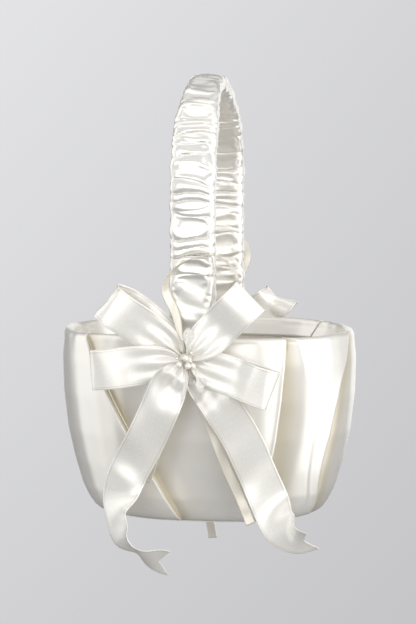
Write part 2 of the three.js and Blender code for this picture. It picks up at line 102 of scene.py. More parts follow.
def catmull(rows, places):
    """Catmull-Rom values of a table of rows, at places from 0 to 1 along it."""
    rows = np.asarray(rows, float)
    padded = np.vstack([2 * rows[0] - rows[1], rows, 2 * rows[-1] - rows[-2]])
    spot = np.asarray(places) * (len(rows) - 1)
    k = np.clip(spot.astype(int), 0, len(rows) - 2)
    t = (spot - k)[:, None]
    p0, p1, p2, p3 = (padded[k + n] for n in range(4))
    return 0.5 * (
        2 * p1
        + (p2 - p0) * t
        + (2 * p0 - 5 * p1 + 4 * p2 - p3) * t**2
        + (3 * p1 - p0 - 3 * p2 + p3) * t**3
    )


def waves(x, y, seed, count=7, low=0.02, high=0.09):
    """Smooth seeded noise from -1 to 1, as a sum of sines. low and high are cycles per mm."""
    random = np.random.default_rng(seed)
    total = 0
    for _ in range(count):
        rate = random.uniform(low, high)
        turn = random.uniform(0, 2 * math.pi)
        total = total + np.sin(
            2 * math.pi * rate * (x * math.cos(turn) + y * math.sin(turn))
            + random.uniform(0, 2 * math.pi)
        )
    return total / math.sqrt(count) / 1.5


def ring_waves(turn, z, seed, high, low):
    """Seeded noise that closes on itself round the oval: low to high waves a round."""
    random = np.random.default_rng(seed)
    total = 0
    for _ in range(8):
        count = random.integers(low, high + 1)
        slope = random.uniform(-0.02, 0.02)
        phase = random.uniform(0, 2 * math.pi)
        total = total + np.sin(count * np.radians(turn) + slope * z + phase)
    return total / 4.2


# ---- Meshes ----


def grid_faces(rows, columns, closed_rows=False, closed_columns=True):
    r = np.arange(rows if closed_rows else rows - 1)
    c = np.arange(columns if closed_columns else columns - 1)
    r, c = np.meshgrid(r, c, indexing="ij")
    right = (c + 1) % columns
    up = (r + 1) % rows
    quads = np.stack(
        [r * columns + c, r * columns + right, up * columns + right, up * columns + c], -1
    )
    return quads.reshape(-1, 4).tolist()


def make_mesh(name, points, faces, material, uvs=None):
    """An object from points in mm. uvs, if given, hold one pair per point, in mm on the cloth."""
    mesh = bpy.data.meshes.new(name)
    mesh.from_pydata((np.asarray(points) * MM).tolist(), [], faces)
    if uvs is not None:
        layer = mesh.uv_layers.new(name="cloth")
        corners = np.empty(len(mesh.loops), dtype=np.int32)
        mesh.loops.foreach_get("vertex_index", corners)
        layer.data.foreach_set("uv", np.asarray(uvs, float)[corners].astype(np.float32).ravel())
    mesh.validate()
    mesh.shade_smooth()
    mesh.materials.append(material)
    piece = bpy.data.objects.new(name, mesh)
    bpy.context.scene.collection.objects.link(piece)
    return piece


def faces_outwards(points, faces):
    """The faces, reversed if the closed surface they make is inside out."""
    points = np.asarray(points)
    volume = 0
    for face in faces:
        a, b, c = points[face[0]], points[face[1]], points[face[2]]
        volume += np.dot(a, np.cross(b, c))
    return [face[::-1] for face in faces] if volume < 0 else faces


def on_grid(rows, columns, *values):
    """Points or cloth places of a grid, from values that are spread over its rows and columns."""
    spread = [np.broadcast_to(value, (rows, columns)).ravel() for value in values]
    return np.stack(spread, -1)


def lids(rows, columns):
    """Faces that close the first and last rings of a tube."""
    last = (rows - 1) * columns
    return [list(range(columns))[::-1], list(range(last, last + columns))]


def end_faces(rows, around):
    """Faces that close both ends of a strip whose section goes out along one face and comes
    back along the other."""
    faces = []
    for first, flip in ((0, False), ((rows - 1) * around, True)):
        for k in range(around // 2 - 1):
            face = [first + k, first + k + 1, first + around - 2 - k, first + around - 1 - k]
            faces.append(face if flip else face[::-1])
    return faces


def thicken(piece):
    """Gives a sheet of satin its thickness, inwards."""
    sheet = piece.modifiers.new("cloth_thickness", "SOLIDIFY")
    sheet.thickness = SATIN_THICKNESS * MM
    sheet.offset = -1


def fit(piece, node, body="basket"):
    """Puts a piece on its body, in the place of its CAD node."""
    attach(piece, body)
    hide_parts(node)


# ---- Materials ----


class Nodes:
    """A short way to write the node tree of a new material or world."""

    def __init__(self, name, kind=bpy.data.materials):
        self.owner = kind.new(name)
        self.owner.use_nodes = True
        self.tree = self.owner.node_tree
        self.shader = self.tree.nodes.get("Principled BSDF")

    def add(self, kind, inputs=None, **settings):
        node = self.tree.nodes.new(kind)
        for key, value in settings.items():
            setattr(node, key, value)
        for key, value in (inputs or {}).items():
            self.put(node, key, value)
        return node

    def put(self, node, key, value):
        if isinstance(value, bpy.types.NodeSocket):
            self.tree.links.new(value, node.inputs[key])
        else:
            node.inputs[key].default_value = value

    def set(self, **values):
        for key, value in values.items():
            self.put(self.shader, key.replace("_", " "), value)

    def noise(self, vector, scale, detail=3.0, roughness=0.5):
        inputs = {"Vector": vector, "Scale": scale, "Detail": detail, "Roughness": roughness}
        return self.add("ShaderNodeTexNoise", inputs).outputs["Fac"]

    def range(self, value, low, high, from_low=0.0, from_high=1.0):
        names = ("Value", "From Min", "From Max", "To Min", "To Max")
        inputs = dict(zip(names, (value, from_low, from_high, low, high)))
        return self.add("ShaderNodeMapRange", inputs).outputs["Result"]

    def mix(self, share, first, second):
        node = self.add("ShaderNodeMix", data_type="RGBA")
        self.put(node, "Factor", share)
        for socket, value in ((node.inputs[6], first), (node.inputs[7], second)):
            if isinstance(value, bpy.types.NodeSocket):
                self.tree.links.new(value, socket)
            else:
                socket.default_value = (*value, 1)
        return node.outputs[2]

    def math(self, operation, first, second=0.0):
        node = self.add("ShaderNodeMath", operation=operation)
        self.put(node, 0, first)
        self.put(node, 1, second)
        return node.outputs[0]

    def stretched(self, coordinates, scale):
        inputs = {"Vector": coordinates, "Scale": scale}
        return self.add("ShaderNodeMapping", inputs).outputs["Vector"]

    def bump(self, height, strength, distance):
        inputs = {"Height": height, "Strength": strength, "Distance": distance}
        self.set(Normal=self.add("ShaderNodeBump", inputs).outputs["Normal"])


PAINTED_FOLD_SHADE = (0.6, 0.54, 0.4)  # painted shade: the colour of satin deep in a fold, where it is lit only by itself
# How far the painted fold shade darkens the satin where a fold is deepest
PAINTED_SHADE_STRENGTH = 0.85
# Woven line inside a ribbon's edge: partly its own tone, partly painted shade of its groove
SELVEDGE_LINE_AND_PAINTED_SHADE = (0.55, 0.5, 0.41)


def satin(
    name, bright, shade, threads_along_v=True, edge_lines=0.0, roughness=0.24, metallic=0.38
):
    """Ivory satin. The cloth map is in mm, and the threads that shine run along v or along u.
    edge_lines is how far from a ribbon's middle the woven line inside each edge lies, or 0; that
    line is darkened, partly in its own tone and partly with painted shade of its groove. A mesh's
    "hollow" attribute says how deep in a fold each point lies, from 0 to 1, and darkens the
    colour there with painted shade."""
    n = Nodes(name)
    cloth = n.add("ShaderNodeUVMap", uv_map="cloth").outputs["UV"]
    fine, long = (6.0, 0.4) if threads_along_v else (0.4, 6.0)
    threads = n.noise(n.stretched(cloth, (fine, long, 1)), 1.0, 2.0)
    clouds = n.noise(n.stretched(cloth, (0.04, 0.04, 1)), 1.0, 2.0)
    color = n.mix(n.range(clouds, 0, 1, 0.3, 0.7), shade, bright)
    # Painted shade: the satin is darkened towards the painted fold shade where the "hollow"
    # attribute says it lies deep in a fold.
    hollow = n.add("ShaderNodeAttribute", attribute_name="hollow").outputs["Fac"]
    color = n.mix(n.math("MULTIPLY", hollow, PAINTED_SHADE_STRENGTH), color, PAINTED_FOLD_SHADE)
    height = threads
    if edge_lines:
        across = n.add("ShaderNodeSeparateXYZ", {"Vector": cloth}).outputs["X"]
        from_line = n.math("ABSOLUTE", n.math("SUBTRACT", n.math("ABSOLUTE", across), edge_lines))
        line = n.range(from_line, 1.0, 0.0, 0.1, 0.45)
        # The woven line is darkened, partly for its own tone and partly as painted shade of its
        # groove.
        color = n.mix(n.math("MULTIPLY", line, 0.45), color, SELVEDGE_LINE_AND_PAINTED_SHADE)
        height = n.math("SUBTRACT", height, n.math("MULTIPLY", line, 8.0))
    n.set(
        Base_Color=color,
        Metallic=metallic,
        Roughness=n.range(threads, roughness - 0.02, roughness + 0.02, 0.3, 0.7),
        Anisotropic=0.6,
        Anisotropic_Rotation=0.0 if threads_along_v else 0.25,
        Tangent=n.add("ShaderNodeTangent", direction_type="UV_MAP", uv_map="cloth").outputs[0],
    )
    n.bump(height, 0.015, 0.0001)
    return n.owner


def pearl_material():
    n = Nodes("pearl_lustre")
    where = n.add("ShaderNodeTexCoord").outputs["Object"]
    bands = n.noise(where, 260.0, 2.0)
    # Painted shade: the pearl turns a darker warm tone towards its outline, where its surface
    # turns away from the camera.
    rim = n.add("ShaderNodeLayerWeight", {"Blend": 0.35}).outputs["Facing"]
    body = n.mix(n.range(bands, 0, 1, 0.35, 0.65), (0.93, 0.89, 0.8), (0.9, 0.88, 0.86))
    n.set(Base_Color=n.mix(rim, body, (0.78, 0.72, 0.62)), Roughness=0.16, Metallic=0.25)
    n.put(n.shader, "Coat Weight", 0.8)
    n.put(n.shader, "Coat Roughness", 0.05)
    n.bump(n.noise(where, 900.0, 2.0), 0.02, 0.0001)
    return n.owner


def organza_material():
    n = Nodes("organza")
    where = n.add("ShaderNodeTexCoord").outputs["Object"]
    mesh = n.noise(n.stretched(where, (2600, 2600, 700)), 1.0, 1.0)
    n.set(
        Base_Color=n.mix(mesh, (0.86, 0.84, 0.78), (0.96, 0.95, 0.92)),
        Roughness=0.18,
        Alpha=n.range(mesh, 0.35, 0.62, 0.35, 0.65),
    )
    n.put(n.shader, "Coat Weight", 0.6)
    n.bump(mesh, 0.2, 0.0001)
    return n.owner


def grained(name, first, second, grain, roughness, metallic=0.0, depth=0.3):
    """Board, wadding, felt, plastic and metal: two tones, a grain size in mm and a bump."""
    n = Nodes(name)
    where = n.add("ShaderNodeTexCoord").outputs["Object"]
    tone = n.noise(where, 1000 / grain, 4.0)
    n.set(
        Base_Color=n.mix(n.range(tone, 0, 1, 0.3, 0.7), first, second),
        Roughness=n.range(tone, roughness - 0.06, roughness + 0.06),
        Metallic=metallic,
    )
    n.bump(n.noise(where, 3000 / grain, 3.0), depth, 0.0002)
    return n.owner


BODY_SATIN = satin(
    "body_satin", (0.885, 0.865, 0.815), (0.855, 0.83, 0.77), False, roughness=0.33, metallic=0.46
)
LINING_SATIN = satin("lining_satin", (0.72, 0.68, 0.6), (0.66, 0.62, 0.54), False, roughness=0.36)
SLEEVE_SATIN = satin("sleeve_satin", (0.895, 0.875, 0.825), (0.87, 0.845, 0.785), metallic=0.48)
RIBBON_SATIN = satin(
    "ribbon_satin",
    (0.925, 0.905, 0.85),
    (0.905, 0.88, 0.82),
    edge_lines=RIBBON_WIDTH / 2 - SELVEDGE,
    roughness=0.26,
    metallic=0.22,
)
NARROW_SATIN = satin("narrow_satin", (0.82, 0.78, 0.69), (0.77, 0.72, 0.62), roughness=0.3)
PEARL = pearl_material()
ORGANZA = organza_material()
BOARD = grained("tub_board", (0.5, 0.44, 0.35), (0.6, 0.54, 0.44), 2.0, 0.85)
WADDING = grained("wadding", (0.86, 0.85, 0.8), (0.93, 0.92, 0.88), 1.2, 0.95, 0.0, 0.8)
FELT = grained("felt", (0.8, 0.77, 0.69), (0.88, 0.86, 0.79), 0.6, 0.95, 0.0, 0.9)
PLASTIC = grained("moulded_plastic", (0.82, 0.81, 0.77), (0.86, 0.85, 0.81), 3.0, 0.42, 0.0, 0.1)
STEEL = grained("wire_steel", (0.6, 0.6, 0.6), (0.7, 0.7, 0.69), 1.0, 0.3, 1.0, 0.1)
RIVET_METAL = grained("rivet_metal", (0.62, 0.57, 0.45), (0.72, 0.67, 0.55), 1.5, 0.28, 1.0, 0.1)


def paint_cad_nodes():
    """The CAD nodes that stay keep their shape and get a finish of their own."""
    finishes = {
        BOARD: ("tub_shell", "base_board"),
        WADDING: ("foam_wrap", "floor_pad", "handle_padding"),
        STEEL: ("rim_wire", "spray_wire_near", "spray_wire_far"),
        PLASTIC: ("handle_core", "pivot_spacer_near", "pivot_spacer_far"),
        RIVET_METAL: ("rivet_near", "rivet_far", "washer_near", "washer_far"),
        FELT: ("bow_pad_near", "bow_pad_far"),
    }
    for material, nodes in finishes.items():
        for node in nodes:
            for slot in bpy.data.objects[node].material_slots:
                slot.material = material


# ---- The oval body ----

# Outer face from the ground up: height, half width and half depth as shares of the body's.
SIDE = np.array(
    [
        [0.010, 0.748, 0.776],
        [0.030, 0.778, 0.812],
        [0.075, 0.818, 0.855],
        [0.140, 0.857, 0.896],
        [0.289, 0.910, 0.943],
        [0.455, 0.957, 0.975],
        [0.661, 0.990, 0.995],
        [0.851, 1.000, 1.000],
        [0.950, 0.991, 0.988],
    ]
)
ROLL_WIDTH = 6.2  # the padded roll of the rim, from outside to inside
ROLL_HEIGHT = 4.3
SIDE_TOP = RIM_Z - 6  # where the side's upright face ends and the roll begins
HEM_DEPTH = 12.0  # how far the cover comes down inside
LINING_INSET = 10.3  # from the side's outer face to the lining
LINING_CORNER = 4.5  # how far the lining rounds in where it meets its floor


def side_half_sizes(z):
    share = z / RIM_Z
    half_x = np.interp(share, SIDE[:, 0], SIDE[:, 1]) * HALF_X
    half_y = np.interp(share, SIDE[:, 0], SIDE[:, 2]) * HALF_Y
    return half_x, half_y


def oval_point(turn, half_x, half_y):
    """Points of an oval, turn in degrees from +X, anticlockwise from above."""
    angle = np.radians(turn)
    power = 2 / OVAL_POWER
    x = np.sign(np.cos(angle)) * np.abs(np.cos(angle)) ** power
    y = np.sign(np.sin(angle)) * np.abs(np.sin(angle)) ** power
    return np.stack([x * half_x, y * half_y], -1)


# The folds of the cover are lines that run from the base to the rim. Each has its turns round
# the oval and its heights out of the wall in mm, at the base, at each quarter and at the rim.
# An "edge" is a crisp fold whose hollow lies towards larger turns, a "floor" is the bottom of a
# hollow, and the rest are soft.
NEAR_LINES = [
    ("soft", (-168, -168, -168, -168, -168), (0.5, 0.8, 0.8, 0.6, 0.4)),
    ("soft", (-125, -134, -142, -150, -158), (1.0, 2.0, 2.2, 1.8, 1.0)),
    ("edge", (-97, -106, -116, -127, -139), (1.8, 3.6, 4.2, 3.4, 1.6)),
    ("soft", (-89, -97, -106, -116, -128), (0.6, 0.5, 0.4, 0.4, 0.4)),
    ("soft", (-76, -80, -82, -84, -88), (1.2, 2.8, 3.2, 2.8, 1.6)),
    ("soft", (-67, -70, -71, -71, -71), (1.6, 4.0, 5.0, 4.8, 3.2)),
    ("edge", (-59, -61.2, -59.8, -58.2, -56.3), (1.6, 4.2, 5.0, 4.6, 2.8)),
    ("floor", (-49, -54.4, -54.2, -54.6, -54.9), (-0.2, 0.2, 0.2, 0.1, -0.2)),
    ("soft", (-39, -46, -47.2, -48.6, -52.6), (1.0, 3.0, 3.4, 2.8, 1.4)),
    ("soft", (-34, -42, -43.6, -45.6, -51.0), (1.4, 4.0, 4.6, 4.0, 2.2)),
    ("soft", (-31, -38.6, -39.6, -41.6, -47), (1.3, 3.2, 3.8, 3.4, 2.2)),
    ("edge", (-25, -32.9, -31.5, -25.8, -14.5), (2.0, 4.6, 5.4, 4.6, 2.6)),
    ("floor", (-18, -26.5, -23.5, -17.2, -8.6), (0.2, 0.6, 0.8, 0.6, 0.2)),
    ("soft", (-11, -19, -15.6, -10.4, -4), (0.6, 1.8, 2.0, 1.6, 0.8)),
]
FAR_LINES = [(kind, tuple(t + 180 for t in turns), lifts) for kind, turns, lifts in NEAR_LINES]
LINES = NEAR_LINES + FAR_LINES

# A crisp edge in section: mm past the line, share of its height, and share of the hollow's depth,
# which also sets the painted shade there.
EDGE_SECTION = [(-3.2, 0.92, 0), (-0.8, 1.0, 0), (0.15, 0.86, 0), (0.1, 0.4, 0.3)]
EDGE_SECTION += [(-0.5, 0.08, 0.8), (0.5, 0, 1.0), (1.6, 0, 1.0)]
HOLLOW = -0.9  # mm from the wall to the bottom of a hollow
# How much painted shade the bottom of a hollow gets, from 0 to 1
FLOOR_PAINTED_SHADE = 0.85
COLUMNS_PER_STEP = 11


def cover_landmarks(share):
    """Turn, mm past it, lift and hollowness, which sets its painted shade, of every landmark
    round the oval, at a height from 0 to 1."""
    turns, slides, lifts, painted_fold_shades = [], [], [], []
    for kind, turn, lift in LINES:
        values = catmull(np.column_stack([turn, lift]), np.atleast_1d(share))
        section = EDGE_SECTION if kind == "edge" else [(0, 1.0, 0)]
        for slide, crest, hollow in section:
            turns.append(values[:, 0])
            slides.append(0 * share + slide)
            lifts.append(crest * values[:, 1] + hollow * HOLLOW)
            painted_fold_shades.append(0 * share + (FLOOR_PAINTED_SHADE if kind == "floor" else hollow))
    return [np.array(rows).T for rows in (turns, slides, lifts, painted_fold_shades)]


def between_landmarks(values, wrap=0.0):
    """Columns between landmarks, with the corners at the landmarks rounded off."""
    following = np.roll(values, -1, axis=1)
    following[:, -1] += wrap
    t = np.linspace(0, 1, COLUMNS_PER_STEP, endpoint=False)
    fine = values[:, :, None] * (1 - t) + following[:, :, None] * t
    fine = fine.reshape(len(values), -1)
    kernel = np.hanning(COLUMNS_PER_STEP + 4)
    kernel /= kernel.sum()
    reach = len(kernel) // 2
    padded = np.hstack([fine[:, -reach:] - wrap, fine, fine[:, :reach] + wrap])
    return np.array([np.convolve(row, kernel, "valid") for row in padded])[:, : fine.shape[1]]


def cover_profile():
    """Rows of the cover from under the base, up the side and over the rim to the hem: height,
    inset from the side's oval at that height, and how much of the folds' depth they show."""
    rows = [(BASE_Z + 0.9, 14.0, 0.0), (BASE_Z + 0.5, 8.0, 0.05), (BASE_Z + 0.1, 3.2, 0.2)]
    rows += [(BASE_Z + 0.2, 0.9, 0.5), (BASE_Z + 1.2, 0.1, 0.8)]
    heights = np.linspace(BASE_Z + 3.0, SIDE_TOP, 60)
    rows += [(z, 0.0, 1.0) for z in heights]
    radius = ROLL_WIDTH / 2
    for angle in np.linspace(math.pi, 0, 15):
        inset = radius + radius * math.cos(angle)
        height = RIM_Z - ROLL_HEIGHT + ROLL_HEIGHT * math.sin(angle)
        rows.append((height, inset, 0.95 - 0.1 * inset))
    for depth in np.linspace(5.5, HEM_DEPTH, 5):
        rows.append((RIM_Z - depth, ROLL_WIDTH + (depth - 4) * 0.42, 0.3))
    return rows


def unit_normals(along):
    along = along / (np.linalg.norm(along, axis=-1, keepdims=True) + 1e-9)
    return np.stack([along[..., 1], -along[..., 0]], -1)


def wall_normal(points):
    """Outward horizontal normals of closed rings of plan points."""
    return unit_normals(np.roll(points, -1, axis=1) - np.roll(points, 1, axis=1))


def build_cover():
    z, inset, shown = np.array(cover_profile()).T[..., None]
    share = np.clip((z - BASE_Z) / (RIM_Z - BASE_Z), 0, 1)
    turns, slides, lifts, painted_fold_shades = cover_landmarks(share[:, 0])
    turn = between_landmarks(turns, 360.0)
    slide = between_landmarks(slides) * shown
    lift = between_landmarks(lifts) * shown

    half_x, half_y = side_half_sizes(np.clip(z, BASE_Z, SIDE_TOP))
    half_x, half_y = half_x - inset, half_y - inset
    plan = oval_point(turn, half_x, half_y)
    along = oval_point(turn + 0.5, half_x, half_y) - oval_point(turn - 0.5, half_x, half_y)
    normal = unit_normals(along)
    along = np.stack([-normal[..., 1], normal[..., 0]], -1)
    step = np.linalg.norm(np.roll(plan, -1, axis=1) - plan, axis=-1)
    run = np.cumsum(step, axis=1) - step

    # Soft unevenness of padded satin, and small gathers where it is drawn in at rim and base.
    loose = 1 - np.abs(2 * share - 1) ** 3
    lift = lift + 0.5 * ring_waves(turn, z, 5, 9, 3) * loose
    lift = lift + 0.2 * ring_waves(turn, z, 17, 36, 14) * loose * smooth(0.2, 0.6, shown)
    drawn = np.exp(-(z - BASE_Z) / 10.0) + 0.6 * np.exp(-(RIM_Z - z) / 6.0)
    lift = lift + 0.4 * ring_waves(turn, z, 9, 44, 16) * np.clip(drawn, 0, 1) * (shown > 0.25)

    flat = plan + normal * lift[..., None] + along * slide[..., None]
    height = z + 0.8 * ring_waves(turn, 0 * z, 31, 7, 3) * smooth(RIM_Z - 30, RIM_Z, z)
    points = np.concatenate([flat, height[..., None]], -1)
    rise = np.diff(z, axis=0, prepend=z[:1])
    turned_in = np.diff(inset, axis=0, prepend=inset[:1])
    profile_run = np.cumsum(np.hypot(rise, turned_in))
    uvs = on_grid(*run.shape, run, profile_run[:, None])
    faces = grid_faces(*run.shape)
    cover = make_mesh("satin_cover", points.reshape(-1, 3), faces, BODY_SATIN, uvs)
    # Painted shade in the hollows of the folds, handed to the satin material as the "hollow"
    # attribute.
    hollow = between_landmarks(painted_fold_shades) * smooth(0.3, 1, shown)
    shading = cover.data.attributes.new("hollow", "FLOAT", "POINT")
    shading.data.foreach_set("value", hollow.astype(np.float32).ravel())
    thicken(cover)
    fit(cover, "outer_cover")


def build_lining():
    """Satin inside the body, gathered at the hem so that it falls in soft upright folds."""
    turn = np.linspace(0, 360, 480, endpoint=False)
    top, floor = LINING_HIGH[2] + 1.5, LINING_LOW[2] + 1.0
    heights = np.concatenate([np.linspace(top, floor + 6, 34), [floor + 3, floor + 1.2, floor]])
    levels = []
    for z in heights:
        half_x, half_y = side_half_sizes(np.clip(z, BASE_Z, SIDE_TOP))
        inset = LINING_INSET + LINING_CORNER * (1 - smooth(floor, floor + 9, z)) ** 2
        inset -= 1.6 * smooth(top - 7, top - 3, z)
        levels.append(oval_point(turn, half_x - inset, half_y - inset))
    half_x, half_y = side_half_sizes(floor)
    for step in (12, 24, 36, 48):
        inset = LINING_INSET + LINING_CORNER + step
        levels.append(oval_point(turn, half_x - inset, max(half_y - inset, 2)))
    plan = np.array(levels)
    z = np.concatenate([heights, [floor] * 4])
    perimeter = 500.0
    run = np.broadcast_to(turn / 360 * perimeter, plan.shape[:2])
    falls = smooth(floor + 2, floor + 30, z) * (1 - 0.95 * smooth(top - 16, top - 3, z))
    falls = falls[:, None]
    folds = 1.7 * waves(run + 0.12 * z[:, None], 0 * run, 12, 9, 0.022, 0.06)
    plan = plan - wall_normal(plan) * (folds * falls + 0.2)[..., None]
    rows, columns = plan.shape[:2]
    points = np.concatenate([plan, np.broadcast_to(z[:, None, None], (rows, columns, 1))], -1)
    steps = np.diff(points[:, 0], axis=0, prepend=points[:1, 0])
    profile = np.cumsum(np.linalg.norm(steps, axis=1))
    uvs = on_grid(rows, columns, run, profile[:, None])
    points = np.vstack([points.reshape(-1, 3), [0, 0, floor]])
    uvs = np.vstack([uvs, [0, profile[-1] + 5]])
    faces = grid_faces(rows, columns)
    hub = rows * columns
    last = hub - columns
    faces += [[last + k, last + (k + 1) % columns, hub] for k in range(columns)]
    lining = make_mesh("satin_lining", points, [f[::-1] for f in faces], LINING_SATIN, uvs)
    fit(lining, "lining")


def build_base_cover():
    """The cloth-covered board under the base, flat where it rests and soft at its edge."""
    high = box_mm("base_cover")[1]
    turn = np.linspace(0, 360, 160, endpoint=False)
    rings = [(0.0, 0.3), (0.35, 0.0), (0.7, 0.0), (0.93, 0.0), (0.985, 0.12), (1.0, 0.5)]
    rings += [(0.99, 0.85), (0.9, 0.9), (0.5, 0.9), (0.0, 0.9)]
    points, uvs = [], []
    for share, z in rings:
        share = max(share, 0.004)
        ring = oval_point(turn, high[0] * share, high[1] * share)
        points.append(np.column_stack([ring, np.full(len(turn), z * high[2] / 0.9)]))
        uvs.append(ring)
    points[0][:, 2] = 0
    points, uvs = np.vstack(points), np.vstack(uvs)
    faces = grid_faces(len(rings), len(turn)) + lids(len(rings), len(turn))
    base = make_mesh("base_cloth", points, faces_outwards(points, faces), BODY_SATIN, uvs)
    fit(base, "base_cover")


# ---- The handle's gathered sleeve ----


def band_frame(run):
    """Middle of the handle and its outward direction, at a run in mm from the near end."""
    arch = math.pi * ARCH_RADIUS
    angle = np.clip((run - LEG_LENGTH) / ARCH_RADIUS, 0, math.pi)
    out = np.stack([0 * run, -np.cos(angle), np.sin(angle)], -1)
    middle = out * ARCH_RADIUS
    middle[..., 2] += ARCH_Z
    middle[..., 2] -= np.clip(LEG_LENGTH - run, 0, None)
    middle[..., 2] -= np.clip(run - LEG_LENGTH - arch, 0, None)
    return middle, out


# Gathers of the sleeve on the near leg: place along the handle, depth, how far the right end
# rises above the left one, and how wide they are, in mm.
NEAR_GATHERS = [
    (50, 1.5, 0, 2.2),
    (62, 2.6, 2.0, 1.5),
    (67, 1.4, 3.4, 2.0),
    (74, 2.4, 4.6, 1.8),
    (88, 2.6, -0.8, 1.6),
    (92.5, 1.5, 4.5, 1.6),
    (97, 1.6, 0.2, 1.5),
    (102, 2.0, 1.2, 1.5),
    (109, 2.4, -4.2, 2.0),
    (126, 2.2, 4.0, 2.2),
    (132, 2.3, 0.4, 1.2),
    (135, 1.9, -0.6, 1.1),
    (140, 2.2, 0.8, 1.3),
    (145, 1.5, -0.4, 1.2),
    (148.5, 1.8, 0.5, 1.6),
    (164, 2.3, -1.0, 2.4),
    (191, 1.4, 0.5, 2.6),
    (199, 2.0, -0.6, 1.8),
]


def gather_table():
    """Every gather: place, depth, width, rise, and two wobbles round the handle."""
    random = np.random.default_rng(21)
    gathers = list(NEAR_GATHERS)
    place = 208.0
    while place < SLEEVE_LENGTH - 28:
        rise = random.uniform(-3.6, 3.6)
        gathers.append((place, random.uniform(1.3, 2.5), rise, random.uniform(1.2, 2.4)))
        place += random.choice([4.5, 6.0, 8.5, 13.0])
    rows = []
    for place, depth, rise, breadth in gathers:
        wobble = random.uniform(0.3, 1.2)
        phases = random.uniform(0, 2 * math.pi, 2)
        rows.append((place, depth, breadth, rise / 2, wobble, *phases))
    return rows


SLEEVE_SQUARENESS = 0.52  # power of the section's cosines: 1 is round, 0 is square
FOOT_LENGTH = 26  # at each end the sleeve narrows over this length to these sizes
FOOT_WIDTH = 19.5
FOOT_THICKNESS = 7.2
CROWN_NARROWING = 6.5
SLEEVE_SLACK = 1.35  # the sleeve's cloth is this much longer than the handle
SLEEVE_REACH = 2.0  # mm that a point of it may move while it buckles


def build_sleeve():
    rows, columns = 560, 72
    run = np.linspace(0, SLEEVE_LENGTH, rows)[:, None]
    around = np.linspace(0, 2 * math.pi, columns, endpoint=False)[None, :]
    c, s = np.cos(around), np.sin(around)
    across = np.sign(c) * np.abs(c) ** SLEEVE_SQUARENESS
    outward = np.sign(s) * np.abs(s) ** SLEEVE_SQUARENESS
    full = smooth(0, FOOT_LENGTH, run) * smooth(0, FOOT_LENGTH, SLEEVE_LENGTH - run)
    crown = np.exp(-(((run - SLEEVE_LENGTH / 2) / 52) ** 4))
    width = FOOT_WIDTH + (SLEEVE_WIDTH - 1.2 - FOOT_WIDTH) * full - CROWN_NARROWING * crown
    thickness = FOOT_THICKNESS + (SLEEVE_THICKNESS - FOOT_THICKNESS) * full

    height = np.zeros((rows, columns))
    shift = np.zeros((rows, columns))
    held = np.zeros((rows, columns))
    for place, depth, breadth, tilt, wobble, phase, lean in gather_table():
        line = place + tilt * across + wobble * np.sin(2 * around + phase)
        line = line + 0.5 * np.sin(5 * around + lean)
        away = (run - line) / breadth
        strength = depth * (0.75 + 0.25 * np.sin(around + lean))
        strength = strength * (1 - 0.5 * np.abs(across) ** 6)
        height -= strength * np.exp(-np.abs(away) ** 1.15)
        shift -= 0.5 * strength * away * np.exp(-away * away)
        held = np.maximum(held, np.exp(-((away * breadth / 0.7) ** 2)))
    # Short creases run into the gathers from the sides, where the sleeve turns over its edges.
    edge = np.abs(across) ** 4
    height += 0.35 * edge * waves(run, 8 * around, 44, 8, 0.1, 0.24)
    height += 0.4 * waves(run, 14 * across, 45, 8, 0.03, 0.08) * full
    height += 0.22 * waves(run + 3 * across, 6 * outward, 46, 8, 0.09, 0.16) * full

    middle, out = band_frame(np.broadcast_to(run + shift, (rows, columns)))
    sideways = np.array([1.0, 0.0, 0.0])
    normal = across[..., None] * 0.35 * sideways + outward[..., None] * out
    normal /= np.linalg.norm(normal, axis=-1, keepdims=True)
    lean_out = np.abs(across) ** 3
    direction = normal * (1 - lean_out)[..., None]
    direction = direction + (lean_out * np.sign(across))[..., None] * sideways
    points = middle + (across * width / 2)[..., None] * sideways
    points = points + (outward * thickness / 2)[..., None] * out
    points = points + (height + 1.0)[..., None] * direction
    points = points.reshape(-1, 3)
    faces = grid_faces(rows, columns)
    slack = (across * width / 2, outward * thickness / 2, run * SLEEVE_SLACK)
    held[:3] = held[-3:] = 1
    points = buckle(points, faces, on_grid(rows, columns, *slack), held)
    uvs = on_grid(rows, columns, around / (2 * math.pi) * 70, run * 1.6)
    sleeve = make_mesh("ruched_sleeve", points, faces, SLEEVE_SATIN, uvs)
    thicken(sleeve)
    fit(sleeve, "handle_sleeve", "handle")


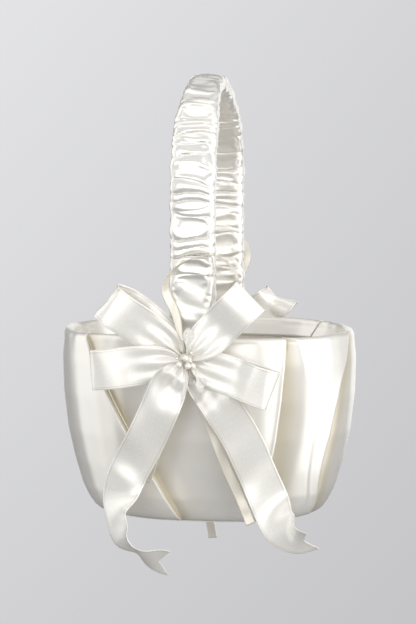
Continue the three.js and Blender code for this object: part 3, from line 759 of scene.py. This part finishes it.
def buckle(points, faces, rest, held):
    """Runs Blender's Cloth on a mesh that is held along its gathers and is shorter than its
    rest shape, so that it wrinkles between them. It runs at ten times the size, near a metre."""
    scale = 10 * MM
    mesh = bpy.data.meshes.new("buckling")
    mesh.from_pydata((points * scale).tolist(), [], faces)
    piece = bpy.data.objects.new("buckling", mesh)
    bpy.context.scene.collection.objects.link(piece)
    piece.shape_key_add(name="start")
    key = piece.shape_key_add(name="rest")
    key.data.foreach_set("co", (rest * scale).astype(np.float32).ravel())
    key.value = 0
    group = piece.vertex_groups.new(name="held")
    weights = held.ravel()
    for k in np.where(weights > 0.05)[0].tolist():
        group.add([k], float(weights[k]), "REPLACE")
    cloth = piece.modifiers.new("cloth", "CLOTH")
    settings = cloth.settings
    settings.rest_shape_key = key
    settings.vertex_group_mass = "held"
    settings.pin_stiffness = 2
    settings.quality = 5
    settings.mass = 0.3
    settings.tension_stiffness = settings.compression_stiffness = 12
    settings.shear_stiffness = 4
    settings.bending_stiffness = 0.3
    settings.air_damping = 4
    settings.effector_weights.gravity = 0
    settings.use_pressure = True
    settings.uniform_pressure_force = 1.5
    cloth.collision_settings.use_collision = False
    scene = bpy.context.scene
    for step in range(1, 15):
        scene.frame_set(step)
    evaluated = piece.evaluated_get(bpy.context.evaluated_depsgraph_get())
    moved = np.empty(len(points) * 3, dtype=np.float32)
    evaluated.data.vertices.foreach_get("co", moved)
    scene.frame_set(1)
    bpy.data.objects.remove(piece)
    travel = moved.reshape(-1, 3) / scale - points
    size = np.linalg.norm(travel, axis=1, keepdims=True) + 1e-9
    return points + travel / size * SLEEVE_REACH * np.tanh(size / SLEEVE_REACH)


# ---- Ribbons ----


# The material, columns across and thickness of each ribbon.
WIDE = (RIBBON_SATIN, 19, 0.35)
NARROW = (NARROW_SATIN, 9, 0.3)


def ribbon_strip(
    name, controls, steps, material, columns, thickness, notch=0.0, ripple=0.0, seed=1
):
    """A closed thin strip. Each control is x, y, z, across x, y, z, width, fold and curl, in a
    bow's own frame: fold is the depth of the gathers across the strip in mm, and curl how far
    its edges turn over, in degrees. notch is the depth of the cut in the free end, and ripple
    that of the seeded waves along the strip."""
    half = np.linspace(-1, 1, columns)
    spread = np.sign(half) * (1 - (1 - np.abs(half)) ** 1.35)
    rows = np.asarray(controls, float)
    fine = catmull(rows, np.linspace(0, 1, 200))
    length = np.sum(np.linalg.norm(np.diff(fine[:, :3], axis=0), axis=1))
    random = np.random.default_rng(seed)
    swells = [
        (random.uniform(15, 34), random.uniform(-1.5, 1.5), random.uniform(0, 6.28))
        for _ in range(3)
    ]
    top, bottom, maps = [], [], []
    for u in spread:
        place = np.linspace(0, 1, steps) * (1 - notch * (1 - abs(u)) / length)
        values = catmull(rows, place)
        ahead = catmull(rows, np.clip(place + 0.004, 0, 1))
        behind = catmull(rows, np.clip(place - 0.004, 0, 1))
        along = ahead[:, :3] - behind[:, :3]
        along /= np.linalg.norm(along, axis=1, keepdims=True)
        across = values[:, 3:6]
        across = across - along * np.sum(across * along, axis=1, keepdims=True)
        across /= np.linalg.norm(across, axis=1, keepdims=True)
        face = np.cross(across, along)
        width, fold = values[:, 6], values[:, 7]
        curl = np.radians(values[:, 8]) + 1e-3
        aside = np.sin(u * curl) / curl * width / 2
        depth = (1 - np.cos(u * curl)) / curl * width / 2
        depth = depth + fold * np.cos(2.6 * math.pi * u + 0.6)
        run = place * length
        wave = sum(np.sin(6.28 * run / span + lean * u + start) for span, lean, start in swells)
        ends = smooth(6, 22, run) * (0.4 + 0.6 * smooth(0, 15, length - run))
        depth = depth + ripple * wave / 1.7 * ends
        centre = values[:, :3] + across * aside[:, None] + face * depth[:, None]
        top.append(centre + face * thickness / 2)
        bottom.append(centre - face * thickness / 2)
        maps.append(np.column_stack([np.full(steps, u * width.max() / 2), run]))
    ring = np.array(top + bottom[::-1])
    ring_maps = np.array(maps + maps[::-1])
    around = 2 * columns
    points = ring.transpose(1, 0, 2).reshape(-1, 3)
    uvs = ring_maps.transpose(1, 0, 2).reshape(-1, 2)
    faces = grid_faces(steps, around) + end_faces(steps, around)
    return name, points, faces, material, uvs


def place_in_bow(strip, side):
    """Turns a strip from its bow's own frame into the basket's, and makes the object."""
    name, points, faces, material, uvs = strip
    if side == "far":
        points = points * np.array([-1, -1, 1])
    points = points + TIES[side]
    return make_mesh(name, points, faces_outwards(points, faces), material, uvs)


def loop_controls(angle, length, back, front, puff, skew=0, square=0, lean=0, cone=0):
    """Controls of a loop that leaves the tie at an angle, in degrees from +X towards +Z. The
    first half is the back layer, at the depth back, and the second is the front one. puff is how
    far apart they stand near the tip. skew swings the back layer out from behind the front one,
    square turns the fold at the tip, lean moves it outwards, and cone brings the two layers
    together at one edge."""
    middle = (back + front) / 2
    wide = RIBBON_WIDTH
    rows = [
        (4.0, back * 0.5, 7, 0, 1, 1.3, 1),
        (0.15 * length, back, 0.66 * wide, 0.1, 1, 1.3, 1),
        (0.30 * length, back, 0.94 * wide, 0.2, 1, 0.6, 1),
        (0.56 * length, back, wide, 0.5, 1, 0.1, 1),
        (0.80 * length, middle + 0.45 * puff, wide, 0.9, 0.6, 0, 1),
        (0.96 * length, middle + 0.30 * puff, wide, 1, 0.2, 0, 0.6),
        (length, middle, wide, 1, 0.1, 0, 0),
        (0.955 * length, middle - 0.33 * puff, wide, 1, 0, 0, -0.6),
        (0.78 * length, middle - 0.5 * puff, wide, 0.9, 0, 0, -1),
        (0.54 * length, front, wide, 0.5, 0, 0.15, -1),
        (0.30 * length, front - 0.2, 0.94 * wide, 0.2, 0, 0.7, -1),
        (0.15 * length, front - 0.4, 0.66 * wide, 0.1, 0, 1.3, -1),
        (4.0, front * 0.6, 7, 0, 0, 1.3, -1),
    ]
    controls = []
    for reach, depth, width, rolled, skewed, fold, layer in rows:
        turn = math.radians(angle + skew * skewed)
        edge = turn + math.radians(square * rolled)
        closing = -math.radians(cone * rolled * layer)
        upright = math.cos(closing)
        across = (-math.sin(edge) * upright, math.sin(closing), math.cos(edge) * upright)
        place = (math.cos(turn) * reach, depth - lean * rolled**2, math.sin(turn) * reach)
        controls.append((*place, *across, width, fold, 0))
    return controls


LOOPS = {
    "near": {
        "upper_left": dict(
            angle=145, length=63, back=3.4, front=0.8, puff=9, skew=-7, square=-6
        ),
        "upper_right": dict(angle=45, length=59, back=-1.2, front=-4.4, puff=9),
        "lower_left": dict(angle=187, length=61, back=-0.6, front=-4.2, puff=8, square=-2),
        "lower_right": dict(angle=-19, length=58, back=3, front=0, puff=9),
    },
    "far": {
        "upper_left": dict(
            angle=150, length=42, back=3.4, front=0.8, puff=12, square=-50, lean=7, cone=16
        ),
        "upper_right": dict(angle=66, length=57, back=-1.2, front=-4.4, puff=9),
        "lower_left": dict(angle=194, length=61, back=-0.8, front=-4.2, puff=8),
        "lower_right": dict(angle=-19, length=58, back=3, front=0, puff=9),
    },
}

# Tails in a bow's own frame: place and across direction, and where the ribbon isn't flat and
# full width, its width, fold and curl too.
TAIL_LEFT = [
    (-3.0, -4.0, -3.0, 0.8, 0, -0.6, 8, 1.3, 0),
    (-5.8, -6.2, -8.5, 0.82, 0, -0.57, 19, 1.2, -20),
    (-10.5, -6.0, -17, 0.86, 0, -0.5, 24.5, 0.5, -10),
    (-17.3, -5.0, -33, 0.9, 0, -0.43, 25, 0.1, 0),
    (-27, -1, -53, 0.92, 0, -0.38),
    (-35, 4, -67, 0.93, 0, -0.36),
    (-40.7, 6, -79, 0.9, -0.15, -0.4),
    (-44.6, 4.5, -90.5, 0.8, -0.55, -0.2),
    (-44.6, 0.5, -102, 0.66, -0.7, 0.1),
    (-40, -4, -112.5, 0.42, -0.8, 0.36),
    (-31.5, -7.5, -119.5, 0.1, -0.9, 0.4),
    (-22, -9, -124, -0.05, -0.75, 0.65),
    (-9.3, -9, -126.5, -0.25, -0.6, 0.75),
]
TAIL_RIGHT = [
    (3.0, 3.0, -3.0, 0.8, 0, 0.6, 8, 1.3, 0),
    (6.5, 4.3, -9, 0.82, 0, 0.57, 17, 1.2, 0),
    (11.5, 4.6, -17, 0.84, 0, 0.54, 23, 0.5, 0),
    (21, 5.1, -29, 0.86, 0, 0.5, 25, 0.1, 0),
    (34, 7, -50, 0.9, 0, 0.42),
    (43, 10, -70, 0.93, 0, 0.36),
    (51, 9, -88, 0.94, 0, 0.34),
    (58, 4, -102, 0.85, -0.2, 0.48),
    (68, -3, -109, 0.5, -0.6, 0.62),
    (81, -8, -110, 0.2, -0.85, 0.45),
]
NARROW_TAIL_RIGHT = [
    (1.4, 4.6, -4.6, 1, 0, 0.1, 3, 0.4, 0),
    (7, 6.1, -24, 1, 0.1, 0.2),
    (16, 8.5, -48, 0.9, 0.2, 0.3),
    (24, 12, -70, 0.9, 0.2, 0.3),
    (33, 13.6, -90, 0.9, 0.1, 0.3),
    (39.5, 12, -105, 0.9, 0, 0.3),
]
NARROW_TAIL_LEFT = [
    (-1.8, 4.6, -4.6, 1, 0, -0.2, 3, 0.4, 0),
    (-8, 6.1, -24, 1, -0.1, -0.3),
    (-17, 9.5, -50, 0.9, 0, -0.4),
    (-28, 13, -80, 0.9, 0, -0.3),
]
NARROW_TAIL_LONG = [
    (1.4, 4.6, -4.6, 1, 0, 0.1, 3, 0.4, 0),
    (5, 6.1, -24, 1, 0.1, 0.1),
    (11, 9, -50, 1, 0.2, 0.1),
    (12.5, 12, -85, 1, 0.2, 0),
    (13.5, 12, -122, 1, 0, -0.1),
    (10.5, 9, -148, 1, 0, -0.2),
]
NARROW_LOOP = [
    (-2.2, 0, 4.6, 1, 0, 0.2, 3, 0.4, 0),
    (-6.5, 1.4, 27, 0.95, 0.2, 0.2, 5, 0.2, 0),
    (-13.4, 1.4, 43, 0.7, 0.7, 0.1),
    (-11, 1.4, 53.5, 0.2, 1, -0.3),
    (-1, 1.4, 62, 0, 1, -0.1),
    (15, 1.6, 66.5, 0, 1, 0),
    (28, 1.4, 60, 0, 1, 0.1),
    (31.8, 1.6, 53, 0.1, 1, 0.1),
    (28.6, 3.7, 44, 0.8, 0.5, -0.2),
    (19, 4.3, 24.5, 0.9, 0.1, -0.4, 5, 0.2, 0),
    (2.6, 4.0, 4.6, 0.9, 0, -0.3, 3, 0.4, 0),
]
NARROW_LOOP_RISE = {"near": 1.0, "far": 1.17}
SEEDS = {"near": 3, "far": 40}
TAIL_NOTCH = 7.0


def full_rows(rows, width):
    """Controls from rows that may leave out their width, fold and curl."""
    return [(*row, width, 0, 0)[:9] for row in rows]


def build_bow(side):
    for seed, (place, shape) in enumerate(LOOPS[side].items(), SEEDS[side]):
        node = f"bow_{side}_loop_{place}"
        controls = loop_controls(**shape)
        strip = ribbon_strip(f"{node}_ribbon", controls, 150, *WIDE, ripple=0.5, seed=seed)
        loop = place_in_bow(strip, side)
        fit(loop, node)

    rise = NARROW_LOOP_RISE[side]
    risen = [(row[0], row[1], row[2] * rise, *row[3:]) for row in NARROW_LOOP]
    risen = full_rows(risen, NARROW_WIDTH)
    strip = ribbon_strip(f"narrow_loop_{side}_ribbon", risen, 160, *NARROW)
    loop = place_in_bow(strip, side)
    fit(loop, f"narrow_loop_{side}")

    long_tail = NARROW_TAIL_LONG if side == "far" else NARROW_TAIL_RIGHT
    tails = {
        f"tail_{side}_left": (TAIL_LEFT, 170),
        f"tail_{side}_right": (TAIL_RIGHT, 150),
        f"narrow_tail_{side}_left": (NARROW_TAIL_LEFT, 90),
        f"narrow_tail_{side}_right": (long_tail, 110),
    }
    for seed, (node, (rows, steps)) in enumerate(tails.items(), 60):
        if node.startswith("narrow"):
            width, cloth, slot = NARROW_WIDTH, (*NARROW, 0, 0.25, seed), "narrow_ribbon_satin"
        else:
            width, cloth, slot = RIBBON_WIDTH, (*WIDE, TAIL_NOTCH, 0.9, seed), "ribbon_satin"
        strip = ribbon_strip(f"{node}_ribbon", full_rows(rows, width), steps, *cloth)
        tail = place_in_bow(strip, side)
        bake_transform(tail)
        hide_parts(node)
    build_tie(side)
    build_spray(side)


def build_tie(side):
    """The narrow ribbon wound round the bow's middle, in three uneven turns."""
    low, high = box_mm(f"bow_{side}_tie")
    radius = (high[0] - low[0]) / 2
    half_depth = (high[1] - low[1]) / 2
    rows, columns = 46, 48
    along = np.linspace(-1, 1, rows)[:, None]
    around = np.linspace(0, 2 * math.pi, columns, endpoint=False)[None, :]
    ends = np.clip(1 - np.abs(along) ** 7, 0, 1) ** 0.5
    turns = 0.32 * np.abs(np.sin(1.5 * math.pi * (along + 0.08 * np.sin(around + 1))))
    creases = 0.12 * np.sin(9 * around + 5 * along) * np.sin(4 * around + 2)
    reach = (radius - 0.45 + turns + creases) * ends + 0.02
    depth = along * half_depth
    points = on_grid(rows, columns, reach * np.cos(around), depth, reach * np.sin(around))
    uvs = on_grid(rows, columns, depth, around * radius)
    faces = grid_faces(rows, columns) + lids(rows, columns)
    tie = place_in_bow((f"bow_{side}_tie_wrap", points, faces, NARROW_SATIN, uvs), side)
    fit(tie, f"bow_{side}_tie")


def build_spray(side):
    """Drilled pearls on the spray's wires, and two thin petals."""
    for name in ("top", "left", "right", "low", "seed_left", "seed_right"):
        node = f"pearl_{side}_{name}"
        low, high = box_mm(node)
        build_pearl(node, (low + high) / 2, (high[2] - low[2]) / 1.93, side)
    for name in ("upper", "lower"):
        build_petal(f"petal_{side}_{name}", side)


def build_pearl(node, centre, radius, side):
    """A bead with a drilled end, its hole turned towards the hub it is wired to."""
    rows, columns = 26, 32
    polar = np.linspace(0, math.pi, rows)[:, None]
    around = np.linspace(0, 2 * math.pi, columns, endpoint=False)[None, :]
    drilled = 1 - 0.14 * np.exp(-((polar / 0.22) ** 2)) - 0.05 * np.exp(
        -(((math.pi - polar) / 0.16) ** 2)
    )
    out = radius * drilled * (1 + 0.006 * np.sin(3 * around + 2 * polar))
    flat = out * np.sin(polar)
    rings = on_grid(
        rows, columns, flat * np.cos(around), flat * np.sin(around), out * np.cos(polar)
    )
    poles = [[0, 0, radius * 0.86], [0, 0, -radius * 0.95]]
    points = np.vstack([rings[columns:-columns], poles])
    ring_count = rows - 2
    faces = grid_faces(ring_count, columns)
    hub_top, hub_low = ring_count * columns, ring_count * columns + 1
    last = (ring_count - 1) * columns
    for k in range(columns):
        following = (k + 1) % columns
        faces.append([hub_top, following, k])
        faces.append([hub_low, last + k, last + following])
    hub = TIES[side] + np.array([0, -6.4 if side == "near" else 6.4, 0])
    towards = Vector(hub - centre).normalized()
    spin = np.array(Vector((0, 0, 1)).rotation_difference(towards).to_matrix())
    points = points @ spin.T + centre
    bead = make_mesh(f"{node}_bead", points, faces_outwards(points, faces), PEARL)
    fit(bead, node)


def build_petal(node, side):
    """A thin leaf with a midrib, its edges lifted and a little frilled."""
    low, high = box_mm(node)
    sign = 1 if side == "near" else -1
    centre = (low + high) / 2
    if node.endswith("upper"):
        root = np.array([centre[0] - sign * 1.1, centre[1], low[2]])
        tip = np.array([centre[0] + sign * 1.0, centre[1], high[2]])
    else:
        inner, outer = (low[0], high[0])[::sign]
        root = np.array([inner + sign * 1.6, centre[1], high[2] - 0.8])
        tip = np.array([outer - sign * 1.6, centre[1], low[2] + 0.8])
    rows, columns = 30, 17
    t = np.linspace(0, 1, rows)[:, None]
    u = np.linspace(-1, 1, columns)[None, :]
    half = 4.0 * (0.1 + 0.9 * smooth(0.15, 0.72, t)) * np.sqrt(np.clip(1.02 - t**6, 0, 1))
    along = tip - root
    forward = along / np.linalg.norm(along)
    front = np.array([0, -sign, 0])
    across = np.cross(front, forward)
    lift = 1.0 * np.sin(math.pi * t) + 0.8 * (u * u) * t - 0.35 * np.exp(-((u / 0.12) ** 2))
    lift = lift + 0.25 * np.sin(14 * t + 3 * u) * np.abs(u)
    middle = root + t[..., None] * along
    spread = (half * u)[..., None]
    top = middle + across * spread + front * (lift + 0.08)[..., None]
    bottom = top - front * 0.16
    points = np.concatenate([top, bottom[:, ::-1]], axis=1)
    around = 2 * columns
    faces = grid_faces(rows, around) + end_faces(rows, around)
    flat = points.reshape(-1, 3)
    leaf = make_mesh(f"{node}_leaf", flat, faces_outwards(flat, faces), ORGANZA)
    fit(leaf, node)


# ---- Stage ----

CAMERA_TURN = 8.0  # degrees round from straight on, towards +X
CAMERA_DISTANCE = 1.39
CAMERA_HEIGHT = 0.290
CAMERA_LENS = 119.4
CAMERA_SHIFT = (-0.0016, -0.38)
FLOOR_Z = -0.9
LIT_POINT = (0, 0, 0.14)


def build_stage():
    """A pale floor that sweeps up into a backdrop, which the camera sees glowing with a painted
    grey, lighter at the top left.
    """
    profile = [(-3.0, 0.0), (1.2, 0.0)]
    profile += [
        (1.2 + 1.2 * math.sin(a), 1.2 - 1.2 * math.cos(a)) for a in np.linspace(0.1, 1.57, 14)
    ]
    profile += [(2.4, 4.0)]
    turn = math.radians(CAMERA_TURN)
    back = np.array([-math.sin(turn), math.cos(turn)])
    right = np.array([math.cos(turn), math.sin(turn)])
    points = []
    for reach, height in profile:
        for sideways in (-3.5, 3.5):
            x, y = back * reach + right * sideways
            points.append((x / MM, y / MM, (FLOOR_Z + height) / MM))
    faces = grid_faces(len(profile), 2, closed_columns=False)
    sweep = make_mesh("backdrop", points, faces, backdrop_material())


def painted_studio_glow(n):
    """Painted light: the glowing grey the camera sees behind the basket, lighter at the top left
    and darker towards the bottom right.
    """
    window = n.add("ShaderNodeTexCoord").outputs["Window"]
    place = n.add("ShaderNodeSeparateXYZ", {"Vector": window}).outputs
    top = n.mix(place["X"], (0.775, 0.775, 0.79), (0.67, 0.67, 0.685))
    bottom = n.mix(place["X"], (0.64, 0.64, 0.655), (0.56, 0.56, 0.575))
    return n.mix(place["Y"], bottom, top)


def seen_or_not(n, seen, unseen, output):
    """The camera sees one shader, and every other ray meets the other."""
    which = n.add("ShaderNodeLightPath").outputs["Is Camera Ray"]
    both = n.add("ShaderNodeMixShader", {0: which, 1: unseen.outputs[0], 2: seen.outputs[0]})
    n.tree.links.new(both.outputs[0], n.tree.nodes[output].inputs["Surface"])


def backdrop_material():
    """Pale paper for every ray but the camera's; the camera sees it glow with the painted grey
    instead of lit by the lamps.
    """
    n = Nodes("backdrop_paper")
    seen = n.add("ShaderNodeEmission", {"Color": painted_studio_glow(n)})
    paper = n.add("ShaderNodeBsdfDiffuse", {"Color": (0.25, 0.25, 0.25, 1)})
    seen_or_not(n, seen, paper, "Material Output")
    return n.owner


def add_softbox(name, place, size, power):
    """A lamp that is aimed at the middle of the basket, with sizes in metres and power in W."""
    data = bpy.data.lights.new(name, "AREA")
    data.shape = "RECTANGLE"
    data.size, data.size_y = size
    data.energy = power
    light = bpy.data.objects.new(name, data)
    light.location = place
    light.visible_camera = False
    aim = Vector(LIT_POINT) - Vector(place)
    light.rotation_euler = aim.to_track_quat("-Z", "Y").to_euler()
    bpy.context.scene.collection.objects.link(light)


def build_lights():
    add_softbox("left_softbox", (-1.1, -0.15, 0.2), (1.0, 2.4), 6.3)
    add_softbox("right_softbox", (0.87, -0.5, 0.25), (1.15, 2.4), 12.5)
    add_softbox("top_softbox", (-0.05, -0.2, 1.3), (1.5, 0.5), 1.8)
    add_softbox("front_fill", (-0.3, -1.9, 0.42), (2.0, 1.0), 10)
    add_softbox("back_fill", (0.3, 1.7, 0.25), (2.6, 1.2), 9)
    n = Nodes("studio", bpy.data.worlds)
    # The camera sees the same painted glowing grey behind the basket; every other ray meets an
    # even pale room.
    seen = n.add("ShaderNodeBackground", {"Color": painted_studio_glow(n)})
    room = n.add("ShaderNodeBackground", {"Color": (0.98, 0.98, 1.0, 1), "Strength": 0.58})
    seen_or_not(n, seen, room, "World Output")
    bpy.context.scene.world = n.owner
    bpy.context.scene.view_settings.view_transform = "Standard"


def build_camera():
    """A level camera at the height of the handle's top, with its frame shifted down."""
    turn = math.radians(CAMERA_TURN)
    data = bpy.data.cameras.new("camera")
    data.sensor_fit = "VERTICAL"
    data.sensor_height = 36
    data.lens = CAMERA_LENS
    data.shift_x = CAMERA_SHIFT[0]
    camera = bpy.data.objects.new("camera", data)
    camera.location = (
        CAMERA_DISTANCE * math.sin(turn),
        -CAMERA_DISTANCE * math.cos(turn),
        CAMERA_HEIGHT,
    )
    camera.rotation_euler = (math.radians(90), 0, turn)
    bpy.context.scene.collection.objects.link(camera)
    bpy.context.scene.camera = camera
    shift_down(camera, CAMERA_SHIFT[1])


def shift_down(camera, shift):
    """Shifts the camera's frame while it stands at its own height, so that the level view holds
    the whole basket, and leaves it centred when the camera is moved elsewhere."""
    curve = camera.data.driver_add("shift_y")
    curve.driver.type = "SUM"
    height = curve.driver.variables.new()
    height.type = "TRANSFORMS"
    height.targets[0].id = camera
    height.targets[0].transform_type = "LOC_Z"
    for modifier in list(curve.modifiers):
        curve.modifiers.remove(modifier)
    steps = ((-0.004, 0), (-0.002, shift), (0.002, shift), (0.004, 0))
    curve.keyframe_points.add(len(steps))
    for point, (offset, value) in zip(curve.keyframe_points, steps):
        point.co = (CAMERA_HEIGHT + offset, value)
        point.interpolation = "LINEAR"


paint_cad_nodes()
build_cover()
build_lining()
build_base_cover()
build_sleeve()
for bow_side in ("near", "far"):
    build_bow(bow_side)
build_stage()
build_lights()
build_camera()
